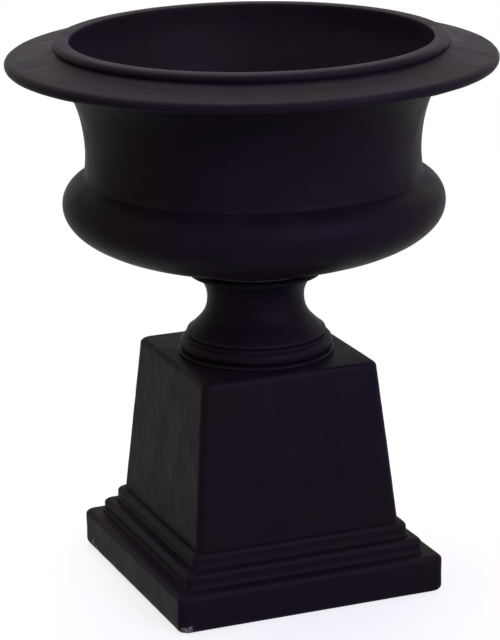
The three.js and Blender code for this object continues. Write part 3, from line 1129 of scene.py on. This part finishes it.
@dataclass(frozen=True)
class Bowl:
    """Wide bowl: a rounded belly, a groove and waisted neck, a broad flat rim and a collar."""

    seat: float = 338.5
    foot_radius: float = 68.4
    foot_rise: float = 4.9
    spigot_inset: float = 2.0
    spigot_height: float = 3.9
    belly_radius: float = 199.6
    belly_rise: float = 71.0
    shoulder_roll: float = 34.0
    shoulder_height: float = 30.0
    neck_radius: float = 174.3
    neck_rise: float = 123.2
    neck_flare: float = 41.0
    neck_flare_height: float = 88.0
    groove_flare: float = 2.9
    rim_radius: float = 254.0
    rim_rise: float = 220.0
    rim_edge: float = 6.2
    rim_edge_above: float = 6.3
    rim_fall: float = 5.7
    collar_radius: float = 204.5
    collar_height: float = 11.2
    collar_round: float = 5.0
    crease_rise: float = 2.9  # above the collar's base, where its rolled edge tucks in
    crease_depth: float = 2.2
    rim_sweep: float = 15.0  # over which the rim curves up to the crease
    mouth_radius: float = 187.2
    mouth_round: float = 1.8
    wall: float = 13.0
    floor: float = 18.0
    floor_radius: float = 62.0
    segments: int = 336

    @property
    def belly(self) -> float:
        """Height of the widest part of the belly."""
        return self.seat + self.belly_rise

    @property
    def neck(self) -> float:
        """Height of the narrowest part of the neck."""
        return self.seat + self.neck_rise

    @property
    def rim(self) -> float:
        """Height of the middle of the rim's rounded edge."""
        return self.seat + self.rim_rise

    @property
    def collar_base(self) -> float:
        """Height at which the collar leaves the rim."""
        return self.rim + self.rim_edge_above + self.rim_fall

    @property
    def crest(self) -> float:
        """Height of the top of the collar."""
        return self.collar_base + self.collar_height

    def outside(self) -> Outline:
        """Outline from the middle of the seat out and up to the top of the rim's edge."""
        roll = (self.belly_radius - self.shoulder_roll, self.belly)
        groove_out = self.neck_radius + self.groove_flare - roll[0]
        groove_angle = math.degrees(math.acos(groove_out / self.shoulder_roll))
        groove = self.belly + self.shoulder_height * math.sin(math.radians(groove_angle))
        edge = (self.rim_radius - self.rim_edge, self.rim)
        foot_top = self.seat + self.foot_rise
        drop = self.belly - foot_top
        spigot = self.foot_radius - self.spigot_inset
        return [
            (0.0, self.seat),
            (spigot, self.seat),
            (spigot, self.seat + self.spigot_height),
            *sweep(
                (self.foot_radius, foot_top),
                (self.foot_radius + 17, foot_top + drop * 0.096),
                (self.belly_radius, self.belly - drop * 0.751),
                (self.belly_radius, self.belly),
                52,
            ),
            *arc(roll, self.shoulder_roll, self.shoulder_height, 0, groove_angle, 30)[1:],
            (self.neck_radius + self.groove_flare * 0.62, groove + 1.6),
            (self.neck_radius + self.groove_flare / 4, (groove + self.neck) / 2),
            *arc(
                (self.neck_radius + self.neck_flare, self.neck),
                self.neck_flare,
                self.neck_flare_height,
                180,
                90,
                36,
            ),
            *arc(edge, self.rim_edge, self.rim_edge, -90, 0, 10),
            *arc(edge, self.rim_edge, self.rim_edge_above, 0, 90, 10)[1:],
        ]

    def collar(self) -> Outline:
        """Outline of the collar, from its sweep on the rim over the crest into the mouth."""
        face = self.collar_radius - self.crease_depth
        crease = self.collar_base + self.crease_rise
        crown = (self.collar_radius - self.collar_round, self.crest - self.collar_round)
        return [
            *sweep(
                (self.collar_radius + self.rim_sweep, self.collar_base - 2.0),
                (self.collar_radius + self.rim_sweep * 0.5, self.collar_base - 1.0),
                (self.collar_radius + 2.0, crease - 2.0),
                (face, crease),
                10,
            ),
            (face + 0.1, crease + 0.7),
            *arc(crown, self.collar_round, self.collar_round, -34, 82, 12),
            ((self.collar_radius + self.mouth_radius) / 2, self.crest),
            *arc(
                (self.mouth_radius + self.mouth_round, self.crest - self.mouth_round * 1.2),
                self.mouth_round,
                self.mouth_round * 1.1,
                90,
                180,
                6,
            ),
        ]

    def inside(self) -> Outline:
        """Outline from the mouth down the wall to the middle of the floor."""
        neck_inside = self.neck_radius - self.wall
        belly_inside = self.belly_radius - self.wall
        neck_drop = self.collar_base - self.neck
        belly_drop = self.neck - self.belly
        floor = self.seat + self.floor
        floor_drop = self.belly - floor
        return [
            *sweep(
                (self.mouth_radius, self.collar_base),
                (self.mouth_radius, self.collar_base - neck_drop * 0.35),
                (neck_inside, self.neck + neck_drop * 0.4),
                (neck_inside, self.neck),
                26,
            ),
            *sweep(
                (neck_inside, self.neck),
                (neck_inside, self.neck - belly_drop * 0.45),
                (belly_inside, self.belly + belly_drop * 0.45),
                (belly_inside, self.belly),
                18,
            )[1:],
            *sweep(
                (belly_inside, self.belly),
                (belly_inside, self.belly - floor_drop * 0.68),
                (self.floor_radius + 33, floor + floor_drop * 0.11),
                (self.floor_radius, floor),
                28,
            )[1:],
            (0.0, floor),
        ]

    def build(self, drilling: Drilling, finish: bpy.types.Material) -> bpy.types.Object:
        """Builds the bowl.

        Args:
            drilling: the holes through its floor.
            finish: its material.

        Returns:
            The object, which stands for the bowl's node.
        """
        outline = [*self.outside(), *self.collar(), *self.inside(), (0.0, self.seat)]
        piece = turned("urn_bowl", dense(outline, 7), self.segments, finish)
        drilling.drill(piece, self.seat, self.seat + self.floor, finish)
        finish_mesh(piece)
        weather(piece, 0.3, 38, (self.seat, self.seat + self.floor))
        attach(piece, "root")
        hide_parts("bowl")
        return piece


@dataclass(frozen=True)
class FlatRing:
    """A flat ring with softened edges: a bedding ring or a washer."""

    node: str
    bore: float
    radius: float
    bottom: float
    thickness: float
    edge: float = 0.4
    segments: int = 72

    def build(self, name: str, slot: str, finish: bpy.types.Material) -> bpy.types.Object:
        """Builds the ring.

        Args:
            name: name of the piece.
            slot: name of a material slot; not used.
            finish: its material.

        Returns:
            The object, which stands for the ring's node.
        """
        e = self.edge
        top = self.bottom + self.thickness
        outline = [
            *arc((self.bore + e, self.bottom + e), e, e, 180, 270, 3),
            *arc((self.radius - e, self.bottom + e), e, e, -90, 0, 3),
            *arc((self.radius - e, top - e), e, e, 0, 90, 3),
            *arc((self.bore + e, top - e), e, e, 90, 180, 3),
            (self.bore, self.bottom + e),
        ]
        piece = turned(name, outline, self.segments, finish)
        finish_mesh(piece)
        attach(piece, "root")
        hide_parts(self.node)
        return piece


@dataclass(frozen=True)
class HexNut:
    """Hexagon nut with both ends chamfered."""

    node: str
    bottom: float
    height: float
    across_flats: float = 18.0
    bore: float = 6.3
    chamfer_slope: float = 0.5
    points: int = 72

    def build(self, name: str, finish: bpy.types.Material) -> bpy.types.Object:
        """Builds the nut, which stands for its node.

        Args:
            name: name of the piece.
            finish: its material.

        Returns:
            The object.
        """
        flat = self.across_flats / 2
        crown = flat * 0.985
        top = self.bottom + self.height
        rings: list[list[Vector]] = [[] for _ in range(8)]
        for i in range(self.points):
            angle = math.tau * i / self.points
            off_flat = (angle % (math.pi / 3)) - math.pi / 6
            reach = flat / math.cos(off_flat)
            drop = (reach - crown) * self.chamfer_slope
            shape = (
                (self.bore, top - 0.9),
                (self.bore, self.bottom + 0.9),
                (self.bore + 0.7, self.bottom),
                (crown, self.bottom),
                (reach, self.bottom + drop),
                (reach, top - drop),
                (crown, top),
                (self.bore + 0.7, top),
            )
            for ring, (radius, z) in zip(rings, shape):
                ring.append(
                    Vector((radius * math.cos(angle), radius * math.sin(angle), z)) * MM
                )
        corners = [corner for ring in rings for corner in ring]
        mesh = bpy.data.meshes.new(name)
        mesh.from_pydata(corners, [], ring_faces(len(rings), self.points, closed=True))
        mesh.materials.append(finish)
        piece = new_piece(name, mesh)
        finish_mesh(piece, 20)
        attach(piece, "root")
        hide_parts(self.node)
        return piece


@dataclass(frozen=True)
class TieRod:
    """M12 studding that draws bowl, stem and plinth together."""

    bottom: float = 191.7
    top: float = 382.0
    radius: float = 6.0
    pitch: float = 1.75
    thread_depth: float = 0.95
    chamfer: float = 1.0
    segments: int = 28

    def build(self, finish: bpy.types.Material) -> bpy.types.Object:
        """Builds the threaded rod, which stands for its node, and returns it."""
        tip = self.radius - self.chamfer
        outline = dense(
            [
                (0, self.bottom),
                (tip, self.bottom),
                (self.radius, self.bottom + self.chamfer),
                (self.radius, self.top - self.chamfer),
                (tip, self.top),
                (0, self.top),
            ],
            self.pitch / 6,
        )
        outline.append((0, self.bottom))
        piece = turned("tie_rod_thread", outline, self.segments, finish)
        apply_rule(
            piece,
            RULES["thread"],
            {
                "Pitch": self.pitch * MM,
                "Depth": self.thread_depth * MM,
                "Bottom": (self.bottom + self.chamfer) * MM,
                "Top": (self.top - self.chamfer) * MM,
                "Material": finish,
            },
        )
        finish_mesh(piece, 30)
        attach(piece, "root")
        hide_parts("tie_rod")
        return piece


# ---------------------------------------------------------------- the studio


def background_rays(
    tree: bpy.types.NodeTree, straight: bpy.types.NodeSocket | float
) -> bpy.types.NodeSocket:
    """Adds the share in which a ray sees the white background.

    Args:
        tree: node tree of the floor or the room.
        straight: how white the background is to the camera, also through glass.

    Returns:
        The share, which is full for a glossy ray.
    """
    rays = add_node(tree, "ShaderNodeLightPath").outputs
    seen = calculate(tree, "MAXIMUM", rays["Is Camera Ray"], rays["Is Transmission Ray"])
    direct = calculate(tree, "MULTIPLY", seen, straight)
    return calculate(tree, "MAXIMUM", direct, rays["Is Glossy Ray"])


@dataclass(frozen=True)
class SoftLamp:
    """A square soft lamp: its place and width in metres, its power and its colour."""

    name: str
    place: tuple[float, float, float]
    width: float
    watts: float
    colour: str


@dataclass(frozen=True)
class SoftWall:
    """One side of the room that glows: the way to it, its light and how narrow it is."""

    towards: tuple[float, float, float]
    strength: float
    colour: str
    narrowness: float = 2.0


@dataclass(frozen=True)
class Studio:
    """Camera, pale floor and soft lamps of a plain product photograph."""

    camera_place: tuple[float, float, float] = (-1074.0, -2648.44, 1121.91)
    camera_yaw: float = 21.946
    camera_pitch: float = 16.462
    camera_roll: float = -0.98
    focal_length: float = 158.882
    floor_size: float = 30000.0
    floor_grey: str = "#8A8A8A"  # what the floor gives back to the urn
    white_from: float = 0.15  # metres from the middle at which the floor turns plain white
    white_to: float = 0.8
    shade_kept: float = 0.25  # share of the urn's shadow that shows on the floor
    aim: tuple[float, float, float] = (0.0, 0.0, 0.35)  # metres
    lamps: tuple[SoftLamp, ...] = (
        SoftLamp("top_lamp", (0.0, 0.6, 3.2), 2.4, 145, "#FFF8EE"),
        SoftLamp("front_right_lamp", (1.2, -3.0, 2.0), 2.4, 138, "#D2C8FF"),
        SoftLamp("left_lamp", (-3.0, 0.4, 1.8), 1.8, 15.6, "#FFF6ED"),
        SoftLamp("back_right_lamp", (3.0, 1.6, 1.8), 1.8, 7.6, "#FFF9D8"),
    )
    walls: tuple[SoftWall, ...] = (
        SoftWall((0.6, 0.8, 0.0), 0.44, "#FFF3F0", 5.0),
        SoftWall((-0.375, -0.927, 0.0), 0.585, "#FFFDFB"),
        SoftWall((0.927, -0.375, 0.0), 0.697, "#D1C4FF"),
        SoftWall((0.0, 0.0, 1.0), 0.12, "#8080FF"),
    )

    def add_camera(self) -> None:
        """Places the camera where the photograph was taken from."""
        yaw, pitch, roll = (
            math.radians(v) for v in (self.camera_yaw, self.camera_pitch, self.camera_roll)
        )
        ahead = Vector(
            (math.sin(yaw) * math.cos(pitch), math.cos(yaw) * math.cos(pitch), -math.sin(pitch))
        )
        level = Vector((math.cos(yaw), -math.sin(yaw), 0.0))
        upright = level.cross(ahead)
        right = math.cos(roll) * level + math.sin(roll) * upright
        up = -math.sin(roll) * level + math.cos(roll) * upright
        data = bpy.data.cameras.new("camera")
        data.lens = self.focal_length
        data.sensor_width = 36.0
        data.clip_start = 0.05
        data.clip_end = 60.0
        camera = bpy.data.objects.new("camera", data)
        turn = Matrix((right, up, -ahead)).transposed().to_4x4()
        camera.matrix_world = Matrix.Translation(Vector(self.camera_place) * MM) @ turn
        bpy.context.scene.collection.objects.link(camera)
        bpy.context.scene.camera = camera

    def add_lamp(self, lamp: SoftLamp) -> None:
        """Hangs one square soft lamp, aimed at the middle of the urn.

        Args:
            lamp: the lamp.
        """
        data = bpy.data.lights.new(lamp.name, "AREA")
        data.shape = "SQUARE"
        data.size = lamp.width
        data.energy = lamp.watts
        data.color = linear_colour(lamp.colour)[:3]
        hung = bpy.data.objects.new(lamp.name, data)
        hung.location = lamp.place
        aim = Vector(self.aim) - Vector(lamp.place)
        hung.rotation_euler = aim.to_track_quat("-Z", "Y").to_euler()
        bpy.context.scene.collection.objects.link(hung)

    def add_floor(self) -> None:
        """Lays the floor: white with the urn's shadow to the camera, grey light to the urn."""
        size = self.floor_size / 2 * MM
        mesh = bpy.data.meshes.new("studio_floor")
        corners = [(-size, -size, 0), (size, -size, 0), (size, size, 0), (-size, size, 0)]
        mesh.from_pydata(corners, [], [(0, 1, 2, 3)])
        floor = new_piece("studio_floor", mesh)
        material, tree, place = start_material("pale_studio_floor")
        away = add_node(tree, "ShaderNodeVectorMath", {0: place}, operation="LENGTH")
        far = add_node(
            tree,
            "ShaderNodeMapRange",
            {
                "Value": away.outputs["Value"],
                1: self.white_from,
                2: self.white_to,
                3: 1 - self.shade_kept,
            },
            interpolation_type="SMOOTHSTEP",
        )
        share = background_rays(tree, far.outputs[0])
        rays = add_node(tree, "ShaderNodeLightPath")
        lit = add_node(tree, "ShaderNodeBsdfDiffuse", {"Color": WHITE})
        felt = add_node(tree, "ShaderNodeBsdfDiffuse", {"Color": linear_colour(self.floor_grey)})
        near = add_node(
            tree,
            "ShaderNodeMixShader",
            {0: rays.outputs["Is Camera Ray"], 1: felt.outputs[0], 2: lit.outputs[0]},
        )
        plain = add_node(tree, "ShaderNodeEmission", {"Color": WHITE})
        both = add_node(
            tree,
            "ShaderNodeMixShader",
            {0: share, 1: near.outputs[0], 2: plain.outputs[0]},
        )
        add_node(tree, "ShaderNodeOutputMaterial", {"Surface": both.outputs[0]})
        mesh.materials.append(material)

    def add_world(self) -> None:
        """Sets the room: white to camera, glass and gloss, soft walls of light to the rest."""
        world = bpy.data.worlds.new("studio_room")
        world.use_nodes = True
        tree = world.node_tree
        tree.nodes.clear()
        way = add_node(tree, "ShaderNodeTexCoord").outputs["Generated"]
        light = None
        for wall in self.walls:
            facing = add_node(
                tree, "ShaderNodeVectorMath", {0: way, 1: wall.towards}, operation="DOT_PRODUCT"
            ).outputs["Value"]
            near = calculate(tree, "MAXIMUM", facing, 0.0)
            share = calculate(tree, "POWER", near, wall.narrowness)
            full = [wall.strength * part for part in linear_colour(wall.colour)[:3]]
            glow = add_node(
                tree,
                "ShaderNodeVectorMath",
                {0: full, "Scale": share},
                operation="SCALE",
            ).outputs[0]
            light = glow if light is None else add_node(
                tree, "ShaderNodeVectorMath", {0: light, 1: glow}, operation="ADD"
            ).outputs[0]
        room = add_node(tree, "ShaderNodeBackground", {"Color": light, "Strength": 1.0})
        white = add_node(tree, "ShaderNodeBackground", {"Color": WHITE, "Strength": 1.0})
        both = add_node(
            tree,
            "ShaderNodeMixShader",
            {0: background_rays(tree, 1.0), 1: room.outputs[0], 2: white.outputs[0]},
        )
        add_node(tree, "ShaderNodeOutputWorld", {"Surface": both.outputs[0]})
        bpy.context.scene.world = world

    def build(self) -> None:
        """Sets up the camera, the floor, the room and the lamps."""
        self.add_camera()
        self.add_floor()
        self.add_world()
        for lamp in self.lamps:
            self.add_lamp(lamp)
        view = bpy.context.scene.view_settings
        view.view_transform = "Standard"


RULES = {"turn": turning_rule(), "drill": drilling_rule(), "thread": thread_rule()}


def main() -> None:
    """Builds the urn planter and the studio round it."""
    logging.basicConfig(level=logging.INFO, format="%(name)s: %(message)s")
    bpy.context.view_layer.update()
    paint = SatinBlackPaint().build()
    rubber = BlackRubber().build()
    steel = ZincPlatedSteel().build()
    drilling = Drilling()

    stem = Stem()
    bowl = Bowl()
    plinth = Plinth()
    made = [
        plinth.build(drilling, paint),
        stem.build(paint),
        bowl.build(drilling, paint),
        FlatRing("foot_gasket", 30, 76.5, 246.0, 2).build("foot_bedding_ring", "black_rubber", rubber),
        FlatRing("bowl_gasket", 30, 64, 336.2, 2).build("bowl_bedding_ring", "black_rubber", rubber),
        FlatRing("bowl_seal_washer", 6.3, 14, 356.8, 3).build("sealing_washer", "black_rubber", rubber),
        FlatRing("bowl_washer", 6.3, 12, 360.1, 2.5).build("washer_in_bowl", "zinc_steel", steel),
        HexNut("bowl_nut", 362.9, 10.8).build("nut_in_bowl", steel),
        FlatRing("spreader_washer", 6.3, 18.5, 216.4, 3).build("wide_washer_under_deck", "zinc_steel", steel),
        FlatRing("plinth_washer", 6.3, 12, 213.6, 2.5).build("washer_under_deck", "zinc_steel", steel),
        HexNut("plinth_nut", 202.5, 10.8).build("nut_under_deck", steel),
        HexNut("plinth_locknut", 196.2, 6).build("locknut_under_deck", steel),
        TieRod().build(steel),
    ]
    for piece in made:
        log.info("%s: %d faces", piece.name, len(piece.data.polygons))
    Studio().build()


if __name__ == "__main__":
    main()
